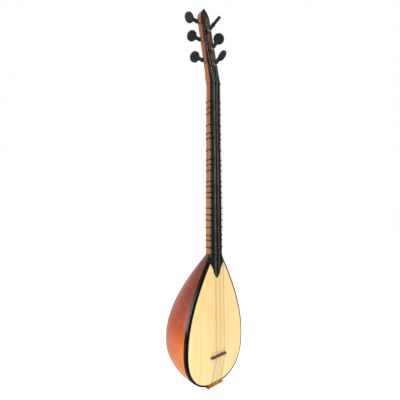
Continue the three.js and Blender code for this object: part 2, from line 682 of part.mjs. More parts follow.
// The first three strings turn over the left edge of the head to the side pegs; the others run
// up its face to the front pegs. Each ends beside its winding.
function stringEnd(index, radius) {
  const beside = WINDING_RADIUS + GLUE_GAP + radius;
  const overEdge = -radius - 2 * GLUE_GAP;
  if (index < SIDE_PEG_HEIGHTS.length) {
    const end = sidePegAt(SIDE_PEG_HEIGHTS[index]);
    const reach = windingStart(0) + WINDING_LENGTH / 2;
    const turn = end.z - STRING_TURN;
    const corners = [
      fromHead(-headHalfWidth(turn) - radius, overEdge, turn),
      fromHead(end.x - reach, end.y - beside, end.z),
    ];
    if (index === SIDE_PEG_HEIGHTS.length - 1) {
      const passingX = -WINDING_RADIUS - 2 * PAIR_SPACING;
      corners.unshift(fromHead(passingX, overEdge - 2 * GLUE_GAP, FRONT_PEG_HEIGHTS[0]));
    }
    return corners;
  }
  const k = index - SIDE_PEG_HEIGHTS.length;
  const reach = windingStart(frontPegLean(k)) + WINDING_LENGTH / 2;
  const middle = frontPegAt(k).addScaledVector(frontPegDirection(k), reach);
  return [fromHead(beside, middle.y, middle.z)];
}

// A string lies flat across the top of what it rests on.
const overRest = (x, y, z, thickness) => [-0.5, 0.5].map((side) =>
  new THREE.Vector3(x, y, z + side * thickness));

function stringPiece(index) {
  const radius = STRING_RADII[index];
  const x = courseX(COURSE_SPACING_AT_BRIDGE, index);
  const slotY = faceEdgeY(0) + COMB_SETBACK + COMB_SLOT_DEPTH / 2;
  const rest = radius + STRING_GAP;
  const nutX = courseX(COURSE_SPACING_AT_NUT, index);
  const corners = [
    new THREE.Vector3(x, slotY, STRING_LOW_END),
    new THREE.Vector3(x, slotY, COMB_HEIGHT / 2),
    new THREE.Vector3(x, faceEdgeY(0) - STRING_OVER_COMB, COMB_HEIGHT),
    ...overRest(x, bridgeTopY - rest, BRIDGE_Z, BRIDGE_TOP_THICKNESS),
    ...overRest(nutX, -NUT_HEIGHT - rest, NUT_Z, NUT_THICKNESS),
    ...stringEnd(index, radius),
  ];
  const section = new THREE.Shape(range(1, STRING_SIDES, STRING_SIDES - 1).map((k) => {
    const angle = (k / STRING_SIDES) * 2 * Math.PI;
    return new THREE.Vector2(radius * Math.cos(angle), radius * Math.sin(angle));
  }));
  return solidOf(new THREE.ExtrudeGeometry(section, {
    steps: corners.length - 1,
    extrudePath: new StringPath(corners),
    bevelEnabled: false,
  }));
}

// ---------------------------------------------------------------- materials and assembly

const finishes = {
  bowlWood: { color: 0xa8551f, roughness: 0.25 },
  neckWood: { color: 0xc87d4b, roughness: 0.4 },
  innerWood: { color: 0xc9a26b, roughness: 0.7 },
  topWood: { color: 0xffe49e, roughness: 0.4 },
  blackLacquer: { color: 0x1e1c1b, roughness: 0.2 },
  darkWood: { color: 0x4b3223, roughness: 0.35 },
  combWood: { color: 0xbe823c, roughness: 0.5 },
  pegBlack: { color: 0x2d2d30, roughness: 0.4 },
  steel: { color: 0xb8b6b0, roughness: 0.3, metalness: 1 },
  fretGut: { color: 0x9a5a34, roughness: 0.5 },
};

const instrument = new THREE.Group();
instrument.position.y = -COMB_MIDDLE_Y;
instrument.add(head);

function place(parent, name, solid, finish) {
  const material = new THREE.MeshStandardMaterial(finishes[finish]);
  const mesh = new THREE.Mesh(geometryOf(solid), material);
  mesh.name = name;
  parent.add(mesh);
}

const bowlParts = bowlPieces();
place(instrument, 'bowl', bowlParts.bowl, 'bowlWood');
place(instrument, 'tail_block', bowlParts.tail_block, 'innerWood');
place(instrument, 'rim_band_left', bowlParts.rim_band_left, 'blackLacquer');
place(instrument, 'rim_band_right', bowlParts.rim_band_right, 'blackLacquer');
place(instrument, 'soundboard_brace', soundboardBrace(), 'innerWood');

const faceParts = facePieces();
place(instrument, 'soundboard', faceParts.soundboard, 'topWood');
place(instrument, 'shoulder_plate', faceParts.shoulder_plate, 'blackLacquer');
place(instrument, 'edge_binding_left', faceParts.edge_binding_left, 'blackLacquer');
place(instrument, 'edge_binding_right', faceParts.edge_binding_right, 'blackLacquer');

place(instrument, 'neck', neckPiece(), 'neckWood');
place(instrument, 'fingerboard', fingerboardPiece(), 'blackLacquer');
place(instrument, 'nut', nutPiece(), 'darkWood');
place(instrument, 'bridge', bridgePiece(), 'darkWood');
place(instrument, 'tail_comb', tailComb(), 'combWood');

const headParts = headPieces();
place(head, 'headstock', headParts.headstock, 'neckWood');
place(head, 'head_faceplate', headParts.head_faceplate, 'darkWood');

SIDE_PEG_HEIGHTS.forEach((height, k) => {
  const group = pegGroup(sidePegAt(height), sidePegDirection, SIDE_PEG_ROLLS[k]);
  const depthInWood = 2 * headHalfWidth(height) - PEG_SHY;
  head.add(group);
  place(group, `side_peg_${k + 1}`, pegPiece(depthInWood, SIDE_PEG_REACH, 0), 'pegBlack');
  place(group, `side_peg_winding_${k + 1}`, windingPiece(0), 'steel');
});

FRONT_PEG_HEIGHTS.forEach((unused, k) => {
  const lean = frontPegLean(k);
  const group = pegGroup(frontPegAt(k), frontPegDirection(k), FRONT_PEG_ROLLS[k]);
  const behindFace = HEAD_THICKNESS - PEG_SHY - PEG_TIP_RADIUS * Math.sin(lean);
  head.add(group);
  place(group, `front_peg_${k + 1}`,
    pegPiece(behindFace / Math.cos(lean), FRONT_PEG_REACH, lean), 'pegBlack');
  place(group, `front_peg_winding_${k + 1}`, windingPiece(lean), 'steel');
});

STRING_RADII.forEach((unused, index) => {
  place(instrument, `string_${index + 1}`, stringPiece(index), 'steel');
});

FRET_CENTS.forEach((cents, k) => {
  const z = BRIDGE_Z + SCALE_LENGTH * 2 ** (-cents / 1200);
  place(instrument, `fret_${k + 1}`, fretPiece(z), 'fretGut');
});

export default instrument;
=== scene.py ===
import json
import math
import random

import bmesh
import bpy
import numpy as np
from mathutils import Matrix, Vector


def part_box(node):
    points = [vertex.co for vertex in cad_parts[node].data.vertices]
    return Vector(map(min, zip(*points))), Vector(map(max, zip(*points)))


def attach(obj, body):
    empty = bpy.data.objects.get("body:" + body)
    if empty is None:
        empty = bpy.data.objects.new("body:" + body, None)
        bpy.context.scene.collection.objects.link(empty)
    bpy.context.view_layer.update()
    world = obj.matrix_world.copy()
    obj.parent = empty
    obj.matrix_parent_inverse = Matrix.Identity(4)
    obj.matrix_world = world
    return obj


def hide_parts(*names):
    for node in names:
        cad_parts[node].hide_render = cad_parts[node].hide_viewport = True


# A short-scale baglama saz. Sizes are in millimetres, in the instrument's own frame, where y = 0 is
# the front of the fingerboard; at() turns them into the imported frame, in metres.

MM = 0.001
FORWARDS = (0, -1, 0)
BACKWARDS = (0, 1, 0)
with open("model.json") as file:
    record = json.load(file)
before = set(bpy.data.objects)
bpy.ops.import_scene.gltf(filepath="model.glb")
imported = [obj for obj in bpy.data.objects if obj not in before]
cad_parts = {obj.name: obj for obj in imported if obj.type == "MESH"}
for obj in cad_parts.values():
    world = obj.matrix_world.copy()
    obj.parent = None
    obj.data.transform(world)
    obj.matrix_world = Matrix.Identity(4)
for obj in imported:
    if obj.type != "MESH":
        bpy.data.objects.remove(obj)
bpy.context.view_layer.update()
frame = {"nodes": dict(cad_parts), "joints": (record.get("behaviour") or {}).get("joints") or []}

# ------------------------------------------------------------------ the instrument's own sizes

SCALE_LENGTH = 560  # nut to bridge
BOWL_LENGTH = 267
NECK_LENGTH = 353
TAIL_Z = 5  # lowest point of the bowl
JOINT_Z = TAIL_Z + BOWL_LENGTH
NUT_Z = JOINT_Z + NECK_LENGTH
SHOULDER_Z = JOINT_Z - 5  # where the outline has come in to the width of the neck
BRIDGE_Z = NUT_Z - SCALE_LENGTH

BOWL_HALF_WIDTH = 82
BOWL_DEPTH = 131
BOWL_WALL = 6
WIDEST_ABOVE_TAIL = 83
DEEPEST_ABOVE_TAIL = 78
SIDE_ROUNDNESS = 2.4  # exponents of the two superellipses at the tail
DEPTH_ROUNDNESS = 2.0
SHOULDER_DROP = 1.33  # how fast the pear narrows towards the neck
INSIDE_FACETS = 0.997  # keeps the smooth bowl within the flat facets of its solid
SOUND_HOLE_RADIUS = 7
SOUND_HOLE_DEPTH = 40

FACE_THICKNESS = 3
FACE_DOME = 4.5
FACE_LEAN = 0.0195  # how far the face goes back, for each millimetre down from the joint
DOME_START = 55
GLUE_GAP = 0.3
RIM_Y = FACE_THICKNESS + GLUE_GAP
BINDING_WIDTH = 3.4
BINDING_EASE = 0.35  # its outer edge is rounded back this far
BAND_HEIGHT = 6.2
BAND_THICKNESS = 2
TONGUE_TIP_Z = JOINT_Z - 50
TONGUE_OUTLINE = [(0, 0), (5.5, 6), (9.6, 12), (11.2, 18.5), (14.2, 24), (19, 31), (23, 38)]

COMB_HALF_LENGTH = 22
COMB_HEIGHT = 10
COMB_DEPTH = 9
COMB_SETBACK = 0.6
COMB_MIDDLE_Y = FACE_LEAN * JOINT_Z + COMB_SETBACK + COMB_DEPTH / 2

NECK_HALF_WIDTH_AT_JOINT = 15.7
NECK_DEPTH_AT_JOINT = 26.5
NECK_ROUNDNESS = 2.3
FINGERBOARD_THICKNESS = 4
FINGERBOARD_BACK_Y = (FINGERBOARD_THICKNESS - COMB_MIDDLE_Y) * MM

FRET_COUNT = 21
CORD_RADIUS = 0.4
CORD_TURNS = 4
CORD_CORNER = 0.9  # rounding where the cord goes over the edges of the fingerboard
CORD_SHOULDER = 4.3  # behind the front of the fret, where the round back of the neck starts
KNOT_RADIUS = 0.8
KNOT_OUT = 0.15  # the knot sits on the cord, outside the wood
KNOT_BACK = 5.2

PEG_RADIUS = 3.4
PEG_DISC_RADIUS = 11.2
PEG_DISC_THICKNESS = 6.4
# Turned shaft of a peg: radius, the mark it is measured from, and how far past that mark.
PEG_SHAFT = [
    (1.7, "tip", 0), (3.1, "tip", 0.5), (PEG_RADIUS, "wood", 0), (PEG_RADIUS, "winding", 0.3),
    (3.9, "winding", 1.3), (4.7, "winding", 2.4), (3.9, "winding", 3.6), (3.6, "winding", 4.6),
    (3.6, "winding", 5.6), (4.2, "disc", 0), (4.0, "disc", 3), (2.4, "disc", 6),
]
# Half of the dished disc: share of its radius, and share of half its thickness.
PEG_DISC = [
    (0.02, 0.74), (0.25, 0.72), (0.5, 0.78), (0.7, 0.92), (0.8, 0.99),
    (0.88, 0.97), (0.94, 0.8), (0.98, 0.5), (1.0, 0.0),
]
WIRE_RADIUS = 0.36  # the string wound on a peg
WOUND_STRINGS = (2, 6)
PLAIN_SLIMMING = 0.14  # how far a string is drawn in all round, to its real gauge
WOUND_SLIMMING = 0.22

def at(x, y, z):
    return (x * MM, (y - COMB_MIDDLE_Y) * MM, z * MM)


def leaned(x, y, z):
    return at(x, y + FACE_LEAN * (JOINT_Z - z), z)


# ------------------------------------------------------------------ mesh helpers


def add_piece(name, mesh, material, body, replaced=()):
    piece = bpy.data.objects.new(name, mesh)
    bpy.context.scene.collection.objects.link(piece)
    mesh.materials.clear()
    mesh.materials.append(material)
    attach(piece, body)
    if replaced:
        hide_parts(*replaced)
    return piece


def shade(mesh, sharp_degrees=35):
    mesh.shade_smooth()
    mesh.set_sharp_from_angle(angle=math.radians(sharp_degrees))


def mesh_of(name, verts, faces, sharp_degrees=35, weld=1e-6):
    mesh = bpy.data.meshes.new(name)
    mesh.from_pydata([tuple(v) for v in verts], [], faces)
    work = bmesh.new()
    work.from_mesh(mesh)
    bmesh.ops.remove_doubles(work, verts=work.verts, dist=weld)
    bmesh.ops.recalc_face_normals(work, faces=work.faces)
    work.to_mesh(mesh)
    work.free()
    shade(mesh, sharp_degrees)
    return mesh


def grid(rows, ring=False):
    """Vertices and quads of rows of equally many points; ring joins each row's ends."""
    count = len(rows[0])
    verts = [point for row in rows for point in row]
    faces = []
    for r in range(len(rows) - 1):
        for c in range(count if ring else count - 1):
            d = (c + 1) % count
            faces.append((r * count + c, r * count + d, (r + 1) * count + d, (r + 1) * count + c))
    return verts, faces


def joined(first, second):
    """Two lots of vertices and faces as one."""
    offset = len(first[0])
    moved = [tuple(index + offset for index in face) for face in second[1]]
    return list(first[0]) + list(second[0]), list(first[1]) + moved


def face_towards(mesh, direction):
    """Turns a sheet over unless its faces look the given way on the whole."""
    facing = sum(polygon.normal.dot(Vector(direction)) * polygon.area for polygon in mesh.polygons)
    if facing < 0:
        mesh.flip_normals()


def capped(rows):
    """Closed tube through rings, with a flat cap at each end."""
    verts, faces = grid(rows, ring=True)
    count = len(rows[0])
    faces.append(tuple(range(count)))
    faces.append(tuple(range(len(verts) - count, len(verts))))
    return verts, faces


def thicken(piece, thickness):
    """Gives a sheet its thickness behind it and applies it."""
    solidify = piece.modifiers.new("thickness", "SOLIDIFY")
    solidify.thickness = thickness * MM
    solidify.offset = -1
    solidify.use_even_offset = False
    bake(piece)


def bake(piece):
    """Replaces the piece's mesh with the result of its modifiers."""
    graph = bpy.context.evaluated_depsgraph_get()
    result = bpy.data.meshes.new_from_object(piece.evaluated_get(graph))
    piece.modifiers.clear()
    piece.data = result


def refined(node, name, material, body, bevel, sharp_degrees=35):
    """A copy of a CAD node with welded vertices and small rounded edges, in its place."""
    mesh = frame["nodes"][node].data.copy()
    work = bmesh.new()
    work.from_mesh(mesh)
    bmesh.ops.remove_doubles(work, verts=work.verts, dist=1e-6)
    bmesh.ops.dissolve_limit(
        work, angle_limit=math.radians(1), verts=work.verts, edges=work.edges)
    work.to_mesh(mesh)
    work.free()
    shade(mesh, sharp_degrees)
    piece = add_piece(name, mesh, material, body, [node])
    if bevel:
        rounding = piece.modifiers.new("rounded", "BEVEL")
        rounding.width = bevel * MM
        rounding.segments = 2
        rounding.limit_method = "ANGLE"
        rounding.angle_limit = math.radians(sharp_degrees)
        rounding.harden_normals = True
    return piece


# ------------------------------------------------------------------ materials


def srgb(red, green, blue):
    """An 8-bit display colour as linear RGBA."""
    def linear(value):
        share = value / 255
        return share / 12.92 if share <= 0.04045 else ((share + 0.055) / 1.055) ** 2.4
    return (linear(red), linear(green), linear(blue), 1.0)


class Finish:
    """A Principled material with short ways to add procedural nodes."""

    def __init__(self, name, roughness=0.4, metallic=0.0, coat=0.0, coat_roughness=0.1, specular=0.5):
        self.material = bpy.data.materials.new(name)
        self.material.use_nodes = True
        self.nodes = self.material.node_tree.nodes
        self.links = self.material.node_tree.links
        self.shader = self.nodes["Principled BSDF"]
        self.set("Roughness", roughness)
        self.set("Metallic", metallic)
        self.set("Coat Weight", coat)
        self.set("Coat Roughness", coat_roughness)
        self.set("Specular IOR Level", specular)
        self.place = self.nodes.new("ShaderNodeTexCoord").outputs["Object"]

    def set(self, socket, value):
        self.shader.inputs[socket].default_value = value

    def link(self, source, target):
        self.links.new(source, target)

    def mapped(self, scale, rotation=(0, 0, 0), location=(0, 0, 0)):
        node = self.nodes.new("ShaderNodeMapping")
        node.inputs["Scale"].default_value = scale
        node.inputs["Rotation"].default_value = rotation
        node.inputs["Location"].default_value = location
        self.link(self.place, node.inputs["Vector"])
        return node.outputs["Vector"]

    def noise(self, scale, detail=4, roughness=0.55, distortion=0.0, location=(0, 0, 0)):
        node = self.nodes.new("ShaderNodeTexNoise")
        node.inputs["Scale"].default_value = 1
        node.inputs["Detail"].default_value = detail
        node.inputs["Roughness"].default_value = roughness
        node.inputs["Distortion"].default_value = distortion
        self.link(self.mapped(scale, location=location), node.inputs["Vector"])
        return node.outputs["Fac"]

    def wave(self, scale, distortion, detail_scale=2.0, direction="X", location=(0, 0, 0)):
        node = self.nodes.new("ShaderNodeTexWave")
        node.bands_direction = direction
        node.inputs["Scale"].default_value = 1
        node.inputs["Distortion"].default_value = distortion
        node.inputs["Detail"].default_value = 2
        node.inputs["Detail Scale"].default_value = detail_scale
        self.link(self.mapped(scale, location=location), node.inputs["Vector"])
        return node.outputs["Fac"]

    def axis(self, index):
        node = self.nodes.new("ShaderNodeSeparateXYZ")
        self.link(self.place, node.inputs[0])
        return node.outputs[index]

    def maths(self, operation, first, second=0.0, clamp=False):
        node = self.nodes.new("ShaderNodeMath")
        node.operation = operation
        node.use_clamp = clamp
        for socket, value in zip(node.inputs, (first, second)):
            if isinstance(value, (int, float)):
                socket.default_value = value
            else:
                self.link(value, socket)
        return node.outputs[0]

    def spread(self, value, low, high, to_low=0.0, to_high=1.0):
        node = self.nodes.new("ShaderNodeMapRange")
        node.clamp = True
        self.link(value, node.inputs["Value"])
        for name, number in (("From Min", low), ("From Max", high), ("To Min", to_low), ("To Max", to_high)):
            node.inputs[name].default_value = number
        return node.outputs["Result"]

    def ramp(self, value, stops):
        node = self.nodes.new("ShaderNodeValToRGB")
        elements = node.color_ramp.elements
        while len(elements) < len(stops):
            elements.new(0.5)
        for element, (position, colour) in zip(elements, stops):
            element.position = position
            element.color = colour
        self.link(value, node.inputs["Fac"])
        return node.outputs["Color"]

    def blend(self, share, first, second, mode="MIX"):
        node = self.nodes.new("ShaderNodeMix")
        node.data_type = "RGBA"
        node.blend_type = mode
        for socket, value in ((node.inputs[0], share), (node.inputs[6], first), (node.inputs[7], second)):
            if isinstance(value, (int, float, tuple)):
                socket.default_value = value
            else:
                self.link(value, socket)
        return node.outputs[2]

    def colour(self, source):
        self.link(source, self.shader.inputs["Base Color"])

    def rough(self, value, low, high):
        self.link(self.spread(value, 0.3, 0.7, low, high), self.shader.inputs["Roughness"])

    def bump(self, height, strength, distance):
        node = self.nodes.new("ShaderNodeBump")
        node.inputs["Strength"].default_value = strength
        node.inputs["Distance"].default_value = distance
        self.link(height, node.inputs["Height"])
        self.link(node.outputs["Normal"], self.shader.inputs["Normal"])


def spruce():
    """The pale soundboard: fine upright grain, wide warmer and paler bands, satin lacquer."""
    finish = Finish("spruce_top", roughness=0.42, coat=0.25, coat_roughness=0.25, specular=0.3)
    grain = finish.noise((520, 30, 5), detail=3, distortion=0.3)
    fine = finish.noise((2300, 60, 14), detail=2)
    bands = finish.noise((34, 4, 1.6), detail=2, roughness=0.4)
    patches = finish.noise((9, 9, 5), detail=2, location=(3, 0, 1))
    wide = finish.ramp(bands, [
        (0.3, srgb(252, 216, 140)), (0.5, srgb(255, 228, 158)), (0.7, srgb(255, 236, 172)),
    ])
    aged = finish.spread(finish.axis(2), 0.05, 0.24, 0.0, 0.75)
    toned = finish.blend(aged, wide, srgb(240, 202, 130))
    warm = finish.blend(finish.spread(patches, 0.4, 0.65, 0.0, 0.6), toned, srgb(246, 204, 124))
    lines = finish.ramp(grain, [
        (0.35, srgb(232, 190, 112)), (0.5, srgb(255, 231, 166)), (0.7, srgb(255, 240, 186)),
    ])
    mixed = finish.blend(0.30, warm, lines)
    hairs = finish.blend(finish.spread(fine, 0.56, 0.74, 0.0, 0.22), mixed, srgb(214, 160, 92))
    finish.colour(hairs)
    finish.rough(grain, 0.36, 0.5)
    finish.bump(finish.maths("ADD", grain, fine), 0.12, 0.0003)
    return finish.material


def sunburst_bowl():
    """The carved bowl: orange low down beside the rim, red-brown towards neck and back, high gloss."""
    finish = Finish("bowl_sunburst", roughness=0.32, coat=0.35, coat_roughness=0.12, specular=0.1)
    height = finish.axis(2)
    depth = finish.axis(1)
    cloud = finish.noise((16, 16, 9), detail=3)
    lift = finish.maths("MULTIPLY", finish.maths("SUBTRACT", cloud, 0.5), 0.05)
    level = finish.spread(finish.maths("ADD", height, lift), 0.0, JOINT_Z * MM)
    tone = finish.ramp(level, [
        (0.0, srgb(206, 100, 30)), (0.16, srgb(240, 140, 14)), (0.34, srgb(228, 112, 4)),
        (0.5, srgb(164, 56, 10)), (0.68, srgb(110, 32, 16)), (0.9, srgb(80, 25, 20)),
    ])
    back = finish.spread(depth, 0.0, BOWL_DEPTH * MM / 2)
    deep = finish.blend(finish.maths("MULTIPLY", back, 0.7), tone, srgb(158, 60, 34))
    streak = finish.noise((190, 190, 7), detail=4, distortion=0.4)
    flame = finish.noise((14, 60, 60), detail=3, distortion=1.2, location=(0, 2, 4))
    streaks = finish.blend(finish.spread(streak, 0.42, 0.66, 0.0, 0.34), deep, srgb(112, 40, 22))
    figured = finish.blend(finish.spread(flame, 0.45, 0.7, 0.0, 0.12), streaks, srgb(226, 112, 34))
    finish.colour(figured)
    finish.rough(streak, 0.24, 0.36)
    finish.bump(streak, 0.06, 0.0003)
    return finish.material


def plain_wood(name, light, middle, dark, grain_scale, roughness, coat=0.0, bump=0.2):
    """Straight-grained wood: pores and streaks along the object's z axis."""
    finish = Finish(name, roughness=roughness, coat=coat, coat_roughness=0.2)
    streak = finish.noise(grain_scale, detail=5, distortion=0.6)
    broad = finish.noise(tuple(value * 0.16 for value in grain_scale), detail=2, location=(1, 5, 2))
    pores = finish.noise(tuple(value * 4 for value in grain_scale), detail=2)
    tone = finish.ramp(streak, [(0.3, dark), (0.5, middle), (0.72, light)])
    varied = finish.blend(finish.spread(broad, 0.35, 0.65, 0.0, 0.45), tone, middle)
    specked = finish.blend(finish.spread(pores, 0.6, 0.75, 0.0, 0.5), varied, dark)
    finish.colour(specked)
    finish.rough(streak, roughness - 0.07, roughness + 0.09)
    finish.bump(finish.maths("ADD", streak, pores), bump, 0.0003)
    return finish.material


def head_side_wood():
    """Neck and head: light red-brown wood under satin lacquer, redder below the pegs."""
    finish = Finish("neck_wood", roughness=0.38, coat=0.1, coat_roughness=0.2, specular=0.22)
    streak = finish.noise((260, 260, 9), detail=5, distortion=0.5)
    broad = finish.noise((30, 30, 14), detail=2, location=(2, 1, 0))
    pores = finish.noise((1500, 1500, 60), detail=2)
    tone = finish.ramp(streak, [
        (0.3, srgb(118, 60, 22)), (0.5, srgb(156, 88, 38)), (0.72, srgb(184, 114, 56)),
    ])
    red = finish.blend(finish.spread(broad, 0.46, 0.6, 0.0, 0.55), tone, srgb(156, 72, 34))
    specked = finish.blend(finish.spread(pores, 0.58, 0.74, 0.0, 0.4), red, srgb(118, 58, 30))
    finish.colour(specked)
    finish.rough(streak, 0.32, 0.46)
    finish.bump(finish.maths("ADD", streak, pores), 0.1, 0.0003)
    return finish.material


def black_gloss():
    """Polished black lacquer with faint grain and hairline scratches."""
    finish = Finish("black_lacquer", roughness=0.2, specular=0.08)
    grain = finish.noise((420, 420, 10), detail=3)
    wear = finish.noise((40, 40, 16), detail=4, location=(5, 0, 2))
    tone = finish.ramp(grain, [(0.35, srgb(10, 9, 9)), (0.6, srgb(18, 16, 15)), (0.8, srgb(30, 27, 25))])
    finish.colour(finish.blend(finish.spread(wear, 0.5, 0.75, 0.0, 0.5), tone, srgb(30, 28, 28)))
    finish.rough(wear, 0.1, 0.26)
    finish.bump(grain, 0.05, 0.0002)
    return finish.material


def burl_face():
    """The head's face: brown figured wood inside a broad black border, black at tip and nut."""
    finish = Finish("head_face", roughness=0.25, specular=0.07)
    across = finish.axis(0)
    height = finish.axis(2)
    figure = finish.noise((150, 90, 45), detail=5, distortion=1.5)
    brown = finish.ramp(figure, [
        (0.3, srgb(44, 26, 16)), (0.5, srgb(92, 56, 30)), (0.68, srgb(132, 82, 44)),
    ])
    wobble = finish.maths("MULTIPLY", finish.maths("SUBTRACT", figure, 0.5), 0.006)
    place = finish.maths("ADD", across, wobble)
    left = finish.spread(place, -0.0045, -0.0015)
    right = finish.spread(place, 0.0100, 0.0088)
    low = finish.spread(height, 0.652, 0.664)
    high = finish.spread(height, 0.778, 0.764)
    between_sides = finish.maths("MULTIPLY", left, right)
    between_ends = finish.maths("MULTIPLY", low, high)
    inside = finish.maths("MULTIPLY", between_sides, between_ends)
    finish.colour(finish.blend(inside, srgb(22, 20, 22), brown))
    finish.rough(figure, 0.18, 0.34)
    finish.bump(figure, 0.06, 0.0002)
    return finish.material


def peg_wood():
    """Black-stained turned wood, with a painted sheen of mottled grey."""
    finish = Finish("peg_black", roughness=0.32, specular=0.16)
    grain = finish.noise((260, 260, 260), detail=5, distortion=0.8)
    sheen_mottle = finish.noise((900, 900, 900), detail=3)
    tone = finish.ramp(grain, [(0.3, srgb(18, 18, 20)), (0.55, srgb(30, 30, 33)), (0.75, srgb(56, 56, 60))])
    # Mottled grey patches over the black: painted sheen.
    finish.colour(finish.blend(finish.spread(sheen_mottle, 0.5, 0.72, 0.0, 0.35), tone, srgb(72, 72, 76)))
    finish.rough(grain, 0.3, 0.5)
    finish.bump(finish.maths("ADD", grain, sheen_mottle), 0.25, 0.0003)
    return finish.material


def comb_stripes():
    """Light hardwood end grain with darker filled slots between the teeth, and painted shade over its left
    end.
    """
    finish = Finish("comb_wood", roughness=0.45, specular=0.2)
    across = finish.axis(0)
    streak = finish.noise((160, 700, 160), detail=4, distortion=0.4)
    stripe = finish.wave((95, 0, 0), 1.2, direction="X")
    tone = finish.ramp(streak, [
        (0.3, srgb(158, 98, 34)), (0.55, srgb(200, 138, 56)), (0.75, srgb(226, 176, 92)),
    ])
    striped = finish.blend(finish.spread(stripe, 0.5, 0.9, 0.0, 0.45), tone, srgb(150, 88, 34))
    # Darker red-brown towards the comb's left end, from 13.5 mm left of its middle: painted shade.
    finish.colour(finish.blend(finish.spread(across, -0.0135, -0.0175, 0.0, 0.7), striped, srgb(128, 56, 24)))
    finish.rough(streak, 0.38, 0.55)
    finish.bump(streak, 0.2, 0.0003)
    return finish.material


def wire(name, twist_scale):
    """Steel string; a wound string shows its fine turns."""
    finish = Finish(name, roughness=0.28, metallic=1.0)
    dull = finish.noise((300, 300, 60), detail=3)
    finish.colour(finish.ramp(dull, [(0.35, srgb(128, 125, 120)), (0.65, srgb(168, 166, 160))]))
    finish.rough(dull, 0.22, 0.4)
    turns = finish.wave((0, 0, twist_scale), 0.0, direction="Z")
    finish.bump(turns, 0.1, 0.00005)
    return finish.material


def gut():
    """Translucent red-brown tied line: it looks dark over the black board and red on the wood."""
    finish = Finish("fret_gut", roughness=0.45, specular=0.12)
    mottle = finish.noise((700, 700, 300), detail=3)
    on_wood = finish.ramp(mottle, [
        (0.35, srgb(104, 46, 18)), (0.55, srgb(140, 70, 30)), (0.75, srgb(168, 94, 46)),
    ])
    on_black = finish.ramp(mottle, [(0.35, srgb(12, 9, 8)), (0.7, srgb(28, 21, 18))])
    behind_board = finish.spread(finish.axis(1), FINGERBOARD_BACK_Y, FINGERBOARD_BACK_Y + 0.001)
    finish.colour(finish.blend(behind_board, on_black, on_wood))
    finish.rough(mottle, 0.36, 0.55)
    finish.bump(mottle, 0.2, 0.0001)
    return finish.material


SPRUCE = spruce()
BOWL = sunburst_bowl()
NECK = head_side_wood()
BLACK = black_gloss()
BURL = burl_face()
PEG = peg_wood()
COMB = comb_stripes()
PLAIN_WIRE = wire("plain_wire", 900)
WOUND_WIRE = wire("wound_wire", 9000)
GUT = gut()
DARK = plain_wood(
    "dark_wood", srgb(86, 44, 32), srgb(56, 26, 22), srgb(32, 15, 14), (260, 700, 700), 0.35, 0.2)
INNER = plain_wood(
    "inner_wood", srgb(222, 188, 134), srgb(201, 162, 107), srgb(164, 122, 74), (260, 260, 12), 0.7)

# ------------------------------------------------------------------ the pear shape


def pear(z, fullest_z, fullest, end_z, end, roundness):
    """Size of the pear at heights z: a superellipse below its fullest place, a long taper above."""
    down = np.clip((fullest_z - z) / (fullest_z - TAIL_Z), 0, 1)
    lower = fullest * (1 - down ** roundness) ** (1 / roundness)
    up = np.clip((z - fullest_z) / (end_z - fullest_z), 0, 1)
    drop = up * up * (SHOULDER_DROP - (SHOULDER_DROP - 1) * up)
    return np.where(z <= fullest_z, lower, fullest + (end - fullest) * drop)


def face_half_width(z):
    return pear(np.asarray(z, float), TAIL_Z + WIDEST_ABOVE_TAIL, BOWL_HALF_WIDTH,
                SHOULDER_Z, NECK_HALF_WIDTH_AT_JOINT, SIDE_ROUNDNESS)


def bowl_depth(z):
    return pear(np.asarray(z, float), TAIL_Z + DEEPEST_ABOVE_TAIL, BOWL_DEPTH,
                JOINT_Z, NECK_DEPTH_AT_JOINT, DEPTH_ROUNDNESS)


def smoothstep(t):
    t = min(1, max(0, t))
    return t * t * (3 - 2 * t)


def dome(x, z):
    """How far the face stands before its flat edge."""
    crown = FACE_DOME * smoothstep((z - TAIL_Z) / DOME_START)
    crown *= 1 - smoothstep((z - BRIDGE_Z) / (JOINT_Z - BRIDGE_Z))
    return crown * (1 - min(1, abs(x) / max(0.1, float(face_half_width(z)))) ** 2)


def outline_heights(lower=90, upper=110):
    """Heights along the outline, close together at the round tail."""
    reach = WIDEST_ABOVE_TAIL
    low = TAIL_Z + reach * (1 - np.cos(np.linspace(0.02, math.pi / 2, lower)))
    high = np.linspace(TAIL_Z + reach, JOINT_Z - GLUE_GAP, upper)
    return np.concatenate([low, high[1:]])


def outline(inset):
    """Right half of the face's outline, moved inwards: arrays of x and z."""
    z = outline_heights(400, 400)
    half = face_half_width(z)
    slope = np.gradient(half, z)
    length = np.sqrt(1 + slope * slope)
    return half - inset / length, z + inset * slope / length


def inset_half_width(inset):
    """A function of z: half the width of the outline moved inwards."""
    x, z = outline(inset)
    keep = x > 0
    return lambda height: np.interp(height, z[keep], x[keep], left=0)


def tongue_half_width(grow):
    """A function of z: half the width of the shoulder plate's ogee, made bigger by grow."""
    points = [Vector((x, up, 0)) for x, up in TONGUE_OUTLINE]
    padded = [2 * points[0] - points[1]] + points + [2 * points[-1] - points[-2]]
    xs, zs = [], []
    for before, start, end, after in zip(padded, padded[1:], padded[2:], padded[3:]):
        for step in range(12):
            t = step / 12
            place = 0.5 * (2 * start + (end - before) * t
                           + (2 * before - 5 * start + 4 * end - after) * t * t
                           + (3 * start - before - 3 * end + after) * t ** 3)
            xs.append(place.x + grow)
            zs.append(TONGUE_TIP_Z + place.y - grow)
    return lambda height: np.interp(height, zs, xs, left=0, right=400)


# ------------------------------------------------------------------ face


def face_row(x_values, z):
    return [leaned(x, -dome(x, z), z) for x in x_values]


def face_sheet(name, rows, material, node):
    verts, faces = grid(rows)
    mesh = mesh_of(name, verts, faces)
    face_towards(mesh, FORWARDS)
    piece = add_piece(name, mesh, material, "instrument", [node])
    thicken(piece, FACE_THICKNESS)
    return piece


